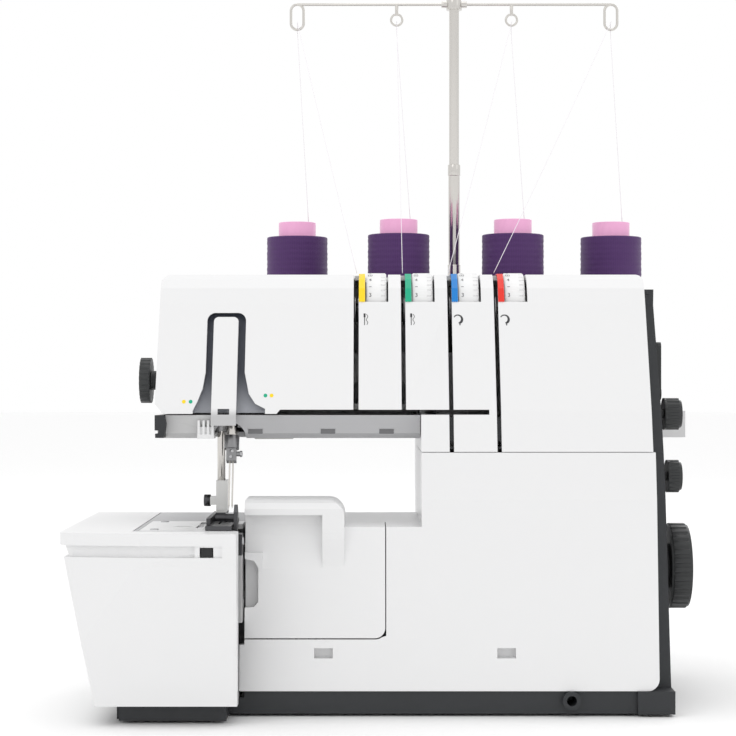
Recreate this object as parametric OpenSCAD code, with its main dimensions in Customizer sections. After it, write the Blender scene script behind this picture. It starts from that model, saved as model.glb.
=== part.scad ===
/* [Body] */
// Left wall of the upright column
column_x = 12; // [8:1:20]
// Right wall of the white casing at its foot
case_x = 152; // [148:1:156]
// Height of the casing's top
top_z = 264; // [262:1:268]
// Height of the seam between the lower and upper front covers
seam_z = 155; // [150:1:158]
// Height of the cloth bed
bed_z = 111; // [110:1:112]
// Back edge of the cloth bed
bed_back_y = 20; // [15:1:30]
// Back of the casing
back_y = 60; // [56:1:64]
// Wall thickness of the moulded covers
wall = 3; // [2.5:0.1:3.5]

/* [Head] */
// Left end of the head
head_x = -148.5; // [-150:0.5:-146]
// Underside of the head
head_z = 163; // [162:1:166]
// Joint between the head cover and the slotted cover
head_joint_x = -28.4; // [-28.8:0.1:-28.4]

/* [Thread slots] */
// Centre of the first thread slot
slot_x = -27; // [-27:0.1:-26.6]
// Distance between neighbouring thread slots
slot_pitch = 28.6; // [28.5:0.1:28.7]
// Width of a thread slot
slot_w = 2.7; // [2.2:0.1:3]
// Radius of a tension dial
dial_r = 23.5; // [23:0.1:23.6]

/* [Needles] */
// Side position of the needle bar
needle_x = -102.8; // [-103:0.1:-102.6]
// Lean of the needle bar from upright
needle_lean = 17; // [16:0.5:18]
// Front-to-back place of the needle points at rest
needle_y = -88; // [-89:0.5:-87]
// Height of the needle points at rest
needle_tip_z = 121; // [120:0.5:122]

/* [Shafts] */
// Height of the main shaft
shaft_z = 80; // [79:0.5:81]
// Front-to-back place of the main shaft
shaft_y = -20; // [-21:0.5:-19.5]
// Radius of the handwheel
wheel_r = 27; // [25:0.5:28]

/* [Thread stand] */
// Mast and outer spool pins, front to back
mast_y = 123; // [120:1:126]
// Mast, side position
mast_x = 41.5; // [40:0.5:43]
// Outer spool pins, distance to each side of the mast
outer_reach = 112; // [110:1:113]
// Inner spool pins, distance to each side of the mast
inner_reach = 40; // [38:1:42]
// Top of the thread spools' cores
spool_top_z = 310; // [300:1:312]
// Radius of the wound thread
spool_r = 21; // [20:0.5:22]
// Height of the wire thread arm
arm_z = 466; // [460:1:468]

/* [Hidden] */
$fn = 48;
RUN = 0.05;   // radial clearance of a shaft that turns or slides in its bore
GAP = 0.3;    // clearance between bodies that pass each other
SLOTS = [0, 1, 2, 3];
function slot_at(i) = slot_x + i * slot_pitch;
// Spool pins: left outer, left inner, right inner, right outer
PINS = [
    [mast_x - outer_reach, mast_y], [mast_x - inner_reach, mast_y - 25],
    [mast_x + inner_reach, mast_y - 25], [mast_x + outer_reach, mast_y]
];
WHITE = "whitesmoke";
DARK = "dimgray";
STEEL = "lightsteelblue";

// ---- outlines ----
// Front face of the casing from foot to top, seen from the side and set back by t
function face_line(t) = [
    [-112 + t, 0], [-100 + t, 127], [-95 + t, 155], [-88 + t, 180], [-62 + t, 245],
    [-57.5 + t, 255], [-53 + t, 260.5 - t / 2], [-46 + t / 2, top_z - t]
];
function face_y(z) = lookup(z, [for (p = face_line(0)) [p[1], p[0]]]);

module side_outline(t) {
    polygon(concat(face_line(t), [[back_y - t, top_z - t], [back_y - t, 0]]));
}

module round_rect(x0, z0, x1, z1, r) {
    translate([x0 + r, z0]) square([x1 - x0 - 2 * r, z1 - z0]);
    translate([x0, z0 + r]) square([x1 - x0, z1 - z0 - 2 * r]);
    for (x = [x0 + r, x1 - r], z = [z0 + r, z1 - r]) translate([x, z]) circle(r);
}

// ---- placing helpers ----
// A side outline (y, z) drawn out along x
module along_x(x0, x1) {
    translate([x0, 0, 0]) rotate([90, 0, 90]) linear_extrude(x1 - x0) children();
}

// A front outline (x, z) drawn out along y
module along_y(y0, y1) {
    translate([0, y1, 0]) rotate([90, 0, 0]) linear_extrude(y1 - y0) children();
}

module along_z(z0, z1) {
    translate([0, 0, z0]) linear_extrude(z1 - z0) children();
}

module block(low, high) {
    translate(low) cube(high - low);
}

module rod_x(x0, x1, y, z, r) {
    translate([x0, y, z]) rotate([0, 90, 0]) cylinder(r = r, h = x1 - x0);
}

module rod_y(y0, y1, x, z, r) {
    translate([x, y1, z]) rotate([90, 0, 0]) cylinder(r = r, h = y1 - y0);
}

module rod_z(z0, z1, x, y, r) {
    translate([x, y, z0]) cylinder(r = r, h = z1 - z0);
}

// The frame of the leaning needle bar: z runs up the bar from the needle points
module on_needle_line() {
    translate([needle_x, needle_y, needle_tip_z]) rotate([-needle_lean, 0, 0]) children();
}

// ---- casing ----
lower_right_r = 7;
cover_x1 = -9.2;          // right edge of the looper cover's opening
cover_z0 = 45.1;          // bottom edge of that opening
hinge_y = -103;
hinge_z = 51.2;
hinge_posts = [-62, -22];
hook_slots = [-51.8, 56.4];
drop_x = 53;              // right end of the thread gap under the slots
gap_z0 = 177.5;           // the gap is this high at its lower edge
gap_z1 = 180.5;
split_y = -2;             // front and rear covers meet here
bar_shaft_x = -122;       // presser lifter's shaft
bar_shaft_z = 190;
knob_y = -40;
stitch_knob_z = 177;
diff_knob_z = 138;
dial_y = -34;
dial_z = 242;

// Lower white cover: bed box on the left, foot of the column on the right
module front_shell() {
    color(WHITE) difference() {
        union() {
            difference() {
                intersection() {
                    along_x(-96, case_x) side_outline(0);
                    union() {
                        block([-96, -130, 15], [-92, -102, 42]);
                        along_y(-130, split_y) {
                            round_rect(column_x, 15, case_x, 40, lower_right_r);
                            translate([column_x, 15]) square([30, 30]);
                            translate([column_x, 25]) square([case_x - column_x, seam_z - 25]);
                        }
                        block([-93, -130, 15], [column_x + 1, bed_back_y, bed_z]);
                    }
                }
                intersection() {
                    along_x(-94, case_x - wall) side_outline(wall);
                    union() {
                        block([column_x + wall, -130, 10], [case_x - wall, 5, seam_z + 1]);
                        block([-94, -130, 10], [column_x + 4, bed_back_y - wall, bed_z - wall]);
                    }
                }
                along_y(-130, -62) round_rect(-120, cover_z0, cover_x1, 130, 6.5);
                rod_x(-94, cover_x1 - 6.5, hinge_y, hinge_z, 7.7);
                translate([cover_x1 - 6.6, hinge_y, hinge_z]) rotate([0, 90, 0])
                    cylinder(r1 = 7.7, r2 = 6, h = 6.6);
            }
            for (x = hook_slots) block([x - 2, -107, 32], [x + 13, -100, 42]);
            for (x = hinge_posts) {
                rod_x(x, x + 6, hinge_y, hinge_z, 3.6);
                block([x, hinge_y, hinge_z - 1.4], [x + 6, hinge_y + 9, hinge_z + 1.4]);
                block([x, hinge_y + 6, 18], [x + 6, hinge_y + 9, hinge_z + 1.4]);
                block([x, face_y(30) + 2, 25], [x + 6, hinge_y + 9, 38]);
            }
        }
        for (x = hinge_posts) rod_x(x - 1, x + 7, hinge_y, hinge_z, 2 + RUN);
        for (x = hook_slots) block([x, -115, 34], [x + 11, -102.5, 40]);
        rod_x(case_x - 5, case_x + 1, shaft_y, shaft_z, 8);
        rod_x(case_x - 5, case_x + 1, knob_y, diff_knob_z, 5);
    }
}

// Upper white cover: four open thread slots, dial windows, and the gap that the threads cross
module upper_shell() {
    right = case_x - 1.4;
    color(WHITE) difference() {
        intersection() {
            along_x(head_joint_x, right) side_outline(0);
            along_y(-130, split_y) {
                translate([head_joint_x, gap_z1]) square([60, top_z - gap_z1]);
                round_rect(head_joint_x, gap_z1 + 40, right, top_z, 4);
                translate([column_x, seam_z + 0.4]) square([right - column_x, 100]);
            }
        }
        intersection() {
            along_x(head_joint_x - 1, right - wall) side_outline(wall);
            union() {
                block([column_x + wall, -130, seam_z - 5], [right - wall, 5, top_z]);
                block([head_joint_x - 1, -130, gap_z1 + wall], [column_x + 5, 5, top_z]);
            }
        }
        block([column_x - 1, -130, gap_z0], [drop_x, -60, gap_z1]);
        for (i = SLOTS) {
            low = i < 2 ? gap_z1 - 1 : seam_z - 1;
            left = i == 0 ? head_joint_x - 1 : slot_at(i) - slot_w / 2;
            block([left, -130, low], [slot_at(i) + slot_w / 2, -60, 246]);
            block([left, -75, 240], [slot_at(i) + slot_w / 2, dial_y, top_z + 1]);
            block([left, -58, 255], [slot_at(i) + slot_w, dial_y, top_z + 1]);
            block([slot_at(i) + 5.3, -80, 246.5], [slot_at(i) + 19.5, -11, top_z + 1]);
        }
        rod_x(right - 5, right + 1, knob_y, stitch_knob_z, 5);
    }
}

// Rear white cover: closes the back of the head, the column and the bed
module rear_shell() {
    color(WHITE) difference() {
        along_y(split_y, back_y) {
            round_rect(head_x, head_z, case_x - 1.4, top_z, 4);
            translate([column_x, 15]) square([case_x - column_x, seam_z - 15]);
            translate([column_x, seam_z - 20]) square([case_x - 1.4 - column_x, 50]);
        }
        along_y(split_y - 1, back_y - wall) {
            translate([head_x + wall, head_z + wall])
                square([case_x - 1.4 - wall * 2 - head_x, top_z - head_z - wall * 2]);
            translate([column_x + wall, 10]) square([case_x - column_x - wall * 2, seam_z - 8]);
            translate([column_x + wall, 100]) square([case_x - 4.4 - column_x - wall, 80]);
        }
        block([column_x - 1, split_y - 1, 10], [column_x + wall + 1, bed_back_y + GAP, bed_z]);
        rod_y(back_y - 5, back_y + 1, bar_shaft_x, bar_shaft_z, 3 + RUN);
        block([118, back_y - 5, 90], [142, back_y + 1, 110]);
        for (i = [0 : 5]) block([40 + i * 10, back_y - 5, 60], [45 + i * 10, back_y + 1, 66]);
        rod_x(case_x - 5, case_x + 1, 35, 38, 5);
        block([case_x - 5, 26, 31], [case_x + 1, 44, 45]);
    }
}

// Outline of the needle threads' channel, made wider by t on every side
module recess_outline(t) {
    round_rect(-118.5 - t, 170, -94.8 + t, 239.5 + t, 5 + t);
    polygon([
        [-118.5 - t, 203 + t], [-120 - t, 193 + t], [-123 - t, 185 + t], [-125.5 - t, 180],
        [-125.5 - t, 170], [-82 + t, 170], [-82 + t, 181 + t], [-88 + t, 184 + t],
        [-92 + t, 190 + t], [-94.8 + t, 203 + t]
    ]);
}

// Left front cover of the head, open round the needle threads' channel
module head_cover() {
    color(WHITE) difference() {
        intersection() {
            along_x(head_x, head_joint_x - 0.4) side_outline(0);
            along_y(-130, split_y) polygon([
                [head_x, 184], [head_x + 5.3, 178], [-75, 178], [-73, 180.5], [head_joint_x, 180.5],
                [head_joint_x, top_z],
                [head_x + 4, top_z], [head_x + 0.6, top_z - 3.5]
            ]);
        }
        intersection() {
            along_x(head_x + wall + 2, head_joint_x + 1) side_outline(wall);
            block([head_x + wall + 2, -130, 170], [head_joint_x + 1, 5, top_z]);
        }
        along_y(-130, -45) recess_outline(0);
        rod_x(head_x - 1, head_x + 10, pressure_y, pressure_z, 3 + RUN);
    }
}

// Underside of the head, seen from the side
underside_line = [[-84, 177.2], [-79, 166], [-74, head_z], [split_y, head_z], [split_y, 177.2]];

// Grey lower cover of the head, with the arch that the needle and presser bars come through
module head_underside() {
    color("silver") difference() {
        along_x(head_x + 1, column_x - 0.4)
            polygon(underside_line);
        along_x(head_x + 1 + wall, column_x - 0.4 - wall)
            polygon([[-81, 178], [-76, 167], [-73, head_z + wall], [split_y + 1, head_z + wall],
                [split_y + 1, 178]]);
        rod_y(-90, -48, -104, head_z, 10);
        for (x = [-93, -49, -13.5]) along_x(x, x + 9.5) translate([-82, 165.5]) square([2.4, 3.5]);
    }
}

// Dark side panel on the right, behind the knobs and the handwheel
module side_panel() {
    color(DARK) difference() {
        intersection() {
            along_x(case_x, 162) polygon(concat(
                [for (p = face_line(14)) if (p[1] < 250) p],
                [[-50, 254.6], [back_y, 254.6], [back_y, 0]]));
            along_y(-130, back_y)
                polygon([[case_x, 15], [161, 15], [157.5, 254.6], [case_x, 254.6]]);
        }
        intersection() {
            along_x(case_x - 1, 154.6) polygon(concat(
                [for (p = face_line(14 + wall)) if (p[1] < 250) p],
                [[-50, 254.6 - wall], [back_y - wall, 254.6 - wall], [back_y - wall, 0]]));
            block([case_x - 1, -130, 15 + wall], [160, back_y, 260]);
        }
        rod_x(150, 165, shaft_y, shaft_z, 6 + RUN);
        rod_x(150, 165, knob_y, stitch_knob_z, 3 + RUN);
        rod_x(150, 165, knob_y, diff_knob_z, 3 + RUN);
        rod_x(150, 165, lever_y, lever_z, 2.5 + RUN);
        block([150, 26, 31], [165, 44, 45]);
        rod_z(28, 48, 157.4, 35, 1.5 + RUN);
    }
}

// Dark pan behind the needle threads' channel
module face_recess() {
    color("slategray") difference() {
        intersection() {
            along_x(-127.5, -80) polygon([for (p = face_line(wall)) p,
                for (i = [7 : -1 : 0]) face_line(9.2)[i]]);
            along_y(-130, 0) intersection() {
                translate([-127.5, 178.5]) square([47.5, 63]);
                recess_outline(2);
            }
        }
        intersection() {
            along_x(-127, -81) polygon([for (p = face_line(0)) p,
                for (i = [7 : -1 : 0]) face_line(7.2)[i]]);
            along_y(-130, 0) recess_outline(0);
        }
    }
}

// White strip that stands in the channel and covers the needle thread guides
module needle_thread_cover() {
    color(WHITE) difference() {
        union() {
            intersection() {
                along_x(-114.4, -99.4) polygon([for (p = face_line(-0.5)) p,
                    for (i = [7 : -1 : 0]) face_line(3)[i]]);
                along_y(-130, 0) {
                    round_rect(-114.4, 200, -99.4, 237, 3);
                    translate([-114.4, 171]) square([15, 40]);
                }
            }
            intersection() {
                along_x(-109, -105) polygon([for (p = face_line(2)) p,
                    for (i = [7 : -1 : 0]) face_line(7.2)[i]]);
                block([-109, -130, 186], [-105, 0, 230]);
            }
        }
        block([-110.5, -100, 177.5], [-103.5, -83, 181]);
    }
}

// Small white comb that keeps the needle threads apart below the channel
module thread_comb() {
    color(WHITE) difference() {
        union() {
            block([-123, -86, head_z], [-112.8, -74, 165.6]);
            for (x = [-122.8, -119.8, -117.1, -114.4]) block([x, -86, 165.5], [x + 1.4, -83.4, 174]);
            block([-123, -84.6, 165.5], [-112.8, -81.8, 170]);
        }
        along_x(-124, -112) polygon(underside_line);
    }
}

// Blade and its dark holder at the head's lower left corner
module thread_cutter() {
    color(DARK) difference() {
        along_y(-88, -75) polygon([
            [-148, 163.5], [-143, 163.5], [-141.6, 172], [-142.5, 177.2], [-148.4, 177.2], [-148.4, 169]
        ]);
        along_x(-149, -140) polygon(underside_line);
        block([-149, -89, 166], [-145.8, -70, 168]);
    }
}

// Foot of the machine, with the socket for the knee lifter's rod at the front
module base_pan() {
    color(DARK) difference() {
        union() {
            difference() {
                union() {
                    along_z(foot_h, 15) {
                        translate([-93, -109]) square([250, back_y + 106]);
                        translate([139, -112]) square([22, back_y + 112]);
                    }
                    along_z(foot_h, 11) {
                        translate([-164, -132]) square([62, 148]);
                        translate([-110, -109]) square([18, 125]);
                        translate([-166, -126]) square([10, 136]);
                    }
                }
                along_z(6, 20) {
                    translate([-90, -106]) square([236, back_y + 100]);
                    translate([-160, -128]) square([54, 140]);
                }
            }
            rod_y(-113, -90, 100, 9.5, 5.4);
        }
        rod_y(-114, -94, 100, 9.5, 3);
    }
}

foot_h = 1.5;
foot_places = [[-150, -115], [-150, 2], [-60, -95], [-60, 8], [140, -95], [140, 45], [30, 45]];

module rubber_feet() {
    color("black") for (p = foot_places) rod_z(0, foot_h, p[0], p[1], 8);
}

// ---- cloth bed, free arm and front cover ----
arm_x0 = -156;
arm_y0 = -131;
arm_y1 = 15;
table_x0 = -197.5;
table_x1 = -95;
pressure_y = -32;
pressure_z = 198;
lever_y = -30;
lever_z = 190;
rail_x = -118;            // rods that the feed dogs slide on
rail_z = 92;

// Narrow arm under the needle plate, open towards the loopers
module free_arm() {
    color("gainsboro") difference() {
        block([arm_x0, arm_y0, 11], [-96, arm_y1, bed_z]);
        block([arm_x0 + wall, arm_y0 + wall, 14], [-95, arm_y1 - wall, bed_z - wall]);
        block([arm_x0 + wall, -127, 100], [-95, -56, bed_z + 1]);
        block([-102, -127, 60], [-95, -60, bed_z + 1]);
    }
}

// Steel plate with slots for the needles and the feed teeth
module needle_plate() {
    color(STEEL) difference() {
        union() {
            block([arm_x0 + wall, -127, 108], [-96, -56, bed_z]);
            for (x = [-146, -132]) rod_z(103, 108.5, x, -60, 3);
        }
        block([-102.8, -128, 100], [-90, -78, 112]);
        block([-105.5, -98, 100], [-100, -84, 112]);
        for (x = [-121.5, -115.5]) {
            block([x - 0.5, -82.5, 100], [x + 3.5, -62, 112]);
            block([x - 0.5, -108.5, 100], [x + 3.5, -86, 112]);
        }
        translate([-134, -97, 100]) cylinder(r = 2, h = 20);
        block([-134, -99, 100], [-126, -95, 112]);
        translate([-126, -97, 100]) cylinder(r = 2, h = 20);
    }
}

// Rows of saw teeth along y, from y0 to y1, with their points at z1
module tooth_row(x, y0, y1, z0, z1) {
    count = floor((y1 - y0) / 1.5);
    step = (y1 - y0) / count;
    along_x(x, x + 2.5) polygon(concat(
        [[y1, z0], [y0, z0]],
        [for (i = [0 : count - 1]) each [[y0 + i * step, z1 - 1], [y0 + (i + 0.9) * step, z1]]],
        [[y1, z1 - 1]]));
}

module dog(y0, y1, hub_y) {
    color(STEEL) difference() {
        union() {
            for (x = [-121, -115]) {
                tooth_row(x, y0, y1, 98, 110.6);
            }
            block([-121, y0, 96], [-112.5, y1, 104]);
            rod_y(hub_y - 4, hub_y + 4, rail_x, rail_z, 5);
            block([rail_x - 3, hub_y - 4, rail_z], [rail_x + 3, hub_y + 4, 100]);
        }
        rod_y(hub_y - 5, hub_y + 5, rail_x, rail_z, 2.5 + RUN);
    }
}

module feed_dog() {
    dog(-79.5, -65, -72);
}

module diff_feed_dog() {
    dog(-105.5, -89, -98);
}

// Fixed knife in its block under the plate
module lower_knife() {
    color(DARK) union() {
        block([-102.6, -122, 92], [-100.9, -108, 110.8]);
        block([-108, arm_y0 + wall, 92], [-102.6, -110, 104]);
    }
}

// Moving knife on its arm, which turns on a stub behind the loopers
module upper_knife() {
    color(DARK) difference() {
        union() {
            block([-98.8, -117, 100], [-96.8, -105, 121]);
            along_x(-98.8, -96.8) polygon([[-117, 121], [-112, 125], [-109, 125], [-105, 121]]);
            block([-96.8, -116, 56], [-93.9, -106, 108]);
            block([-96.8, -116, 56], [-93.9, -45, 68]);
            rod_x(-96.8, -93.9, -45, 62, 7);
        }
        rod_x(-98, -92, -45, 62, 3 + RUN);
        rod_x(-99.5, -93, -111, 103.5, 1.2);
    }
}

// Rod of the front cover's hinge, held in two posts of the lower cover
module cover_hinge_rod() {
    color(STEEL) rod_x(-90, -13, hinge_y, hinge_z, 2);
}

hood_x = -34;
hood_y = -107;
hood_top = 127;
hood_low = 118.5;
chute_x = -47;
cover_back = -62.4;
cover_lugs = [-72, -42];

// Surface of the waste chute, seen from the side: deep under the hood, running out to the front
function chute_line(t) = [
    for (s = [0 : 0.1 : 1]) [-97.5 - 5.75 * (1 - cos(180 * s)) + t, hood_low - 60 * s]
];

// Front cover with its hood and the chute that the trimmings fall down
module looper_cover() {
    x0 = -93;
    x1 = cover_x1 - 0.6;
    z0 = cover_z0 + 0.7;
    color(WHITE) difference() {
        union() {
            difference() {
                union() {
                    intersection() {
                        along_x(x0, x1) side_outline(0);
                        along_y(-130, cover_back) difference() {
                            round_rect(x0 - 20, z0, x1, 140, 6);
                            translate([x0 - 30, 40]) square([30, 110]);
                            translate([x0, bed_z]) square([200, 40]);
                        }
                    }
                    intersection() {
                        along_y(-130, cover_back) {
                            round_rect(x0, 76, hood_x, hood_top, 10);
                            translate([x0, 76]) square([30, hood_top - 76]);
                        }
                        along_x(x0, hood_x) polygon([
                            [-100, 76], [-103.7, 88], [-104.6, 94], [-105.8, 99.5], [-106.7, 104],
                            [hood_y, 108], [hood_y, hood_top - 5], [hood_y + 1.5, hood_top - 1.5],
                            [hood_y + 5, hood_top], [cover_back, hood_top], [cover_back, 76]
                        ]);
                    }
                }
                along_x(x0 - 1, chute_x) polygon(concat([[-125, hood_low]], chute_line(0), [[-125, 58.5]]));
                intersection() {
                    along_x(x0 - 1, chute_x - 2.5) polygon(concat(
                        [for (p = chute_line(2)) if (p[1] < 106) p], [[-60, 57], [-60, 106]]));
                    along_x(x0 - 2, x1) side_outline(2.8);
                }
                intersection() {
                    along_x(x0 - 1, x1 - 2.8) side_outline(2.8);
                    union() {
                        block([x0 - 1, -130, z0 + wall], [x1 - 2.8, -60, 59]);
                        block([chute_x + 2.5, -130, z0 + wall], [x1 - 2.8, -60, bed_z - wall]);
                    }
                }
                block([x0 - 1, -104.6, 40], [x1 - 2.8, -60, 48.9]);
                block([x0 - 1, -101, 40], [x1 - 2.8, -60, 60]);
                rod_x(x0 - 1, x1 - 2.8, hinge_y, hinge_z, 2.4);
                block([x0 - 1, -94, 100], [chute_x - 2.5, cover_back - wall, hood_top - 3.5]);
            }
            block([x0, -104, 61], [x0 + 10.5, -95, 96]);
            for (x = cover_lugs) intersection() {
                along_x(x, x + 6) side_outline(0.5);
                union() {
                    rod_x(x, x + 6, hinge_y, hinge_z, 4.2);
                    block([x, -112, z0], [x + 6, hinge_y, 54]);
                }
            }
        }
        for (x = cover_lugs) rod_x(x - 1, x + 7, hinge_y, hinge_z, 2 + RUN);
        for (x = hinge_posts) rod_x(x - 0.4, x + 6.4, hinge_y, hinge_z, 3.95);
        along_y(-125, -97.5) polygon([[x0 - 1, 92.5], [x0 + 5.5, 91], [x0 + 8, 87], [x0 + 8, 67],
            [x0 + 5.5, 64], [x0 - 1, 63.5]]);
    }
}

// Extension table that slides off the free arm to the left
module slide_table() {
    color(WHITE) difference() {
        union() {
            difference() {
                table_form(0);
                intersection() {
                    table_form(2.6);
                    block([-220, -170, 0], [-90, 30, 94]);
                }
                intersection() {
                    table_form(6);
                    block([-220, -170, 90], [-90, 30, bed_z - wall]);
                }
                // finger groove under the rim
                difference() {
                    block([-205, -160, 97.3], [-103, 30, 104]);
                    table_form(3.2);
                }
            }
            intersection() {
                table_form(2);
                block([arm_x0 - 3, arm_y0 - 3, 14], [-96, arm_y1 + 3, bed_z - 1]);
            }
            intersection() {
                table_form(1);
                block([-118.6, -151, 95.6], [-103, -139, 104.8]);
            }
        }
        block([arm_x0 - 0.4, arm_y0 - 0.4, 0], [-80, arm_y1 + 0.4, 120]);
        block([-115.7, -160, 97.4], [-107.9, -130, 103.2]);
    }
}

// Outline of the table, drawn in by t on every side
module table_form(t) {
    corner = [table_x0 + 9, -135];
    intersection() {
        along_z(11.3, bed_z) {
            polygon([[table_x0 + t, bed_back_y - t], [table_x0 + t, corner[1]], [corner[0], -144 + t],
                [-150, -149.3 + t], [table_x1 - t, -152 + t], [table_x1 - t, bed_back_y - t]]);
            translate(corner) circle(9 - t);
        }
        along_x(-220, -80) polygon([[-152 + t, 120], [-152 + t, 104], [-149 + t, 92], [-141 + t, 11],
            [bed_back_y - t, 11], [bed_back_y - t, 120]]);
        along_y(-170, 40) polygon([[table_x0 + t, 120], [table_x0 + t, 104], [table_x0 + 3.4 + t, 97],
            [table_x0 + 21 + t, 11], [table_x1 - t, 11], [table_x1 - t, 120]]);
    }
}

// Release button at the right end of the finger groove
module table_latch() {
    color("black") union() {
        block([-115.4, -149.4, 97.7], [-108.2, -140, 102.9]);
        block([-117, -138.6, 96.5], [-106.6, -136.4, 104.1]);
        block([-113, -140.1, 99], [-110.6, -138.5, 101.6]);
    }
}

// ---- drive and inner frame ----
pulley_x = 138;
motor_y = 30;
motor_z = 44;
looper_pivot_x = -84;
looper_pivot_z = 42;
swing_y0 = -93.5;         // the lower looper works in this thin space behind the needles
swing_y1 = -91;
upper_y = -87.8;
// Direction in which the upper looper's rod slides, as an angle from upright towards the left
upper_lean = 37.4;
upper_base = [-70, 70];

// The frame of the upper looper's rod: z runs up the rod
module on_upper_rod() {
    translate([upper_base[0], upper_y, upper_base[1]]) rotate([0, -upper_lean, 0]) children();
}

// Cast frame that carries the shafts, the bars and the motor
module main_frame() {
    color("darkgray") difference() {
        union() {
            block([-90, -88, 6], [13, 12, 14]);
            block([12, -88, 6], [144, 52, 14]);
            for (x = [-56, 14, 118]) {
                block([x, -30, 12], [x + 9, -10, shaft_z]);
                rod_x(x, x + 9, shaft_y, shaft_z, 12);
            }
            for (y = [-78, -46]) {
                block([-90, y, 12], [-76, y + 8, looper_pivot_z]);
                rod_y(y, y + 8, looper_pivot_x, looper_pivot_z, 7.5);
            }
            block([-90, -50, 12], [-86, -40, 62]);
            rod_x(-91, -86, -45, 62, 6);
            rod_x(-97, -88, -45, 62, 3);
            on_upper_rod() translate([0, 0, -24]) cylinder(r = 5.5, h = 16);
            block([-64, upper_y + 2, 12], [-54, upper_y + 8, 62]);
            // feed rail and its two supports
            rod_y(-116, -28, rail_x, rail_z, 2.5);
            for (y = [-120, -30]) block([rail_x - 5, y, 80], [rail_x + 5, y + 6, 96]);
            block([rail_x - 5, -120, 74], [rail_x + 5, -24, 80]);
            block([rail_x - 5, -30, 14], [rail_x + 5, -20, 81]);
            block([rail_x - 5, -30, 15], [-86, -20, 22]);
            block([-90, -30, 12], [-86, -20, 22]);
            // column, arm and the brackets of the needle and presser bars
            block([24, 2, 12], [44, 16, 216]);
            block([-115, 2, 196], [44, 16, 216]);
            block([-114, -60, 204], [-97, 4, 209]);
            block([-108, -66, 193.5], [-98, -50, 209]);
            block([-112, -60, 169], [-98, 4, 176]);
            block([-106, -14, 169], [-98, 16, 200]);
            on_needle_line() translate([0, 0, 53]) cylinder(r = 5.2, h = 9);
            on_needle_line() translate([0, 0, 76]) cylinder(r = 5.2, h = 6);
            rod_z(167, 178, -110, -64, 5.5);
            rod_y(-50, -38, bar_shaft_x, bar_shaft_z, 6);
            block([-127, -50, 190], [-100, -38, 207]);
            // cradle of the motor
            for (x = [76, 112]) block([x, motor_y - 15, 12], [x + 8, motor_y + 15, motor_z]);
        }
        rod_x(-60, 130, shaft_y, shaft_z, 6 + RUN);
        rod_y(-90, -36, looper_pivot_x, looper_pivot_z, 4 + RUN);
        on_upper_rod() translate([0, 0, -30]) cylinder(r = 2.5 + RUN, h = 30);
        on_needle_line() translate([0, 0, 40]) cylinder(r = 3.5 + RUN, h = 90);
        rod_z(160, 215, -110, -64, 2.5 + RUN);
        rod_y(-52, -36, bar_shaft_x, bar_shaft_z, 3 + RUN);
        rod_x(70, 134, motor_y, motor_z, 24);
    }
}

module motor() {
    color("black") difference() {
        union() {
            rod_x(70, 128, motor_y, motor_z, 24);
            rod_x(66, 132, motor_y, motor_z, 9);
        }
        rod_x(120, 133, motor_y, motor_z, 3 + RUN);
    }
}

module belt_loop(t) {
    hull() {
        translate([shaft_y, shaft_z]) circle(22.4 + t);
        translate([motor_y, motor_z]) circle(7.4 + t);
    }
}

module drive_belt() {
    color("black") along_x(pulley_x + 1.5, pulley_x + 6.5) difference() {
        belt_loop(1.8);
        belt_loop(0);
    }
}

module motor_pulley() {
    color(STEEL) union() {
        rod_x(121, 147, motor_y, motor_z, 3);
        rod_x(pulley_x, pulley_x + 8, motor_y, motor_z, 7);
        for (x = [pulley_x, pulley_x + 7]) rod_x(x, x + 1, motor_y, motor_z, 9);
    }
}

// Main shaft with the belt pulley, the needle crank and the looper eccentrics
module main_shaft() {
    color(STEEL) union() {
        rod_x(-58, 181, shaft_y, shaft_z, 6);
        rod_x(pulley_x, pulley_x + 8, shaft_y, shaft_z, 22);
        for (x = [pulley_x, pulley_x + 7]) rod_x(x, x + 1, shaft_y, shaft_z, 24.8);
        for (c = [[-40, 4], [-26, -4], [-10, 3], [32, 6]])
            rod_x(c[0], c[0] + 8, shaft_y, shaft_z + c[1], 15);
        rod_x(127.3, 129.3, shaft_y, shaft_z, 9);
    }
}

module handwheel() {
    color("black") difference() {
        union() {
            rod_x(161.6, 172, shaft_y, shaft_z, 14);
            rod_x(170, 183, shaft_y, shaft_z, wheel_r - 1);
            rod_x(171.5, 181.5, shaft_y, shaft_z, wheel_r);
        }
        rod_x(160, 181.2, shaft_y, shaft_z, 6.01);
        rod_x(181.4, 184, shaft_y, shaft_z, 17);
        for (a = [0 : 12 : 359]) translate([0, shaft_y, shaft_z]) rotate([a, 0, 0])
            rod_x(169, 184, 0, wheel_r + 0.9, 1.6);
    }
}

// ---- needles, presser and loopers ----
module needles() {
    color("silver") for (side = [-1, 1]) on_needle_line() translate([side, 0, 0]) {
        translate([0, 0, 2]) cylinder(r = 0.5, h = 27);
        cylinder(r1 = 0.12, r2 = 0.5, h = 2.01);
        translate([0, 0, 28.9]) cylinder(r = 0.85, h = 9);
    }
}

module needle_clamp() {
    color(STEEL) on_needle_line() difference() {
        union() {
            translate([-3, -3.2, 29]) cube([6, 6.4, 8.2]);
            translate([0, 0, 37]) cylinder(r = 4.6, h = 8);
            translate([2, 0, 34]) rotate([0, 90, 0]) cylinder(r = 1.5, h = 3.4);
        }
        translate([0, 0, 37.9]) cylinder(r = 3.51, h = 9);
        for (side = [-1, 1]) translate([side, 0, 28]) cylinder(r = 0.86, h = 9.95);
        for (z = [31.5, 35]) translate([0, -2, z]) rotate([90, 0, 0]) cylinder(r = 1, h = 2);
    }
}

module needle_bar() {
    color("silver") on_needle_line() translate([0, 0, 37.95]) cylinder(r = 3.5, h = 70);
}

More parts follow.
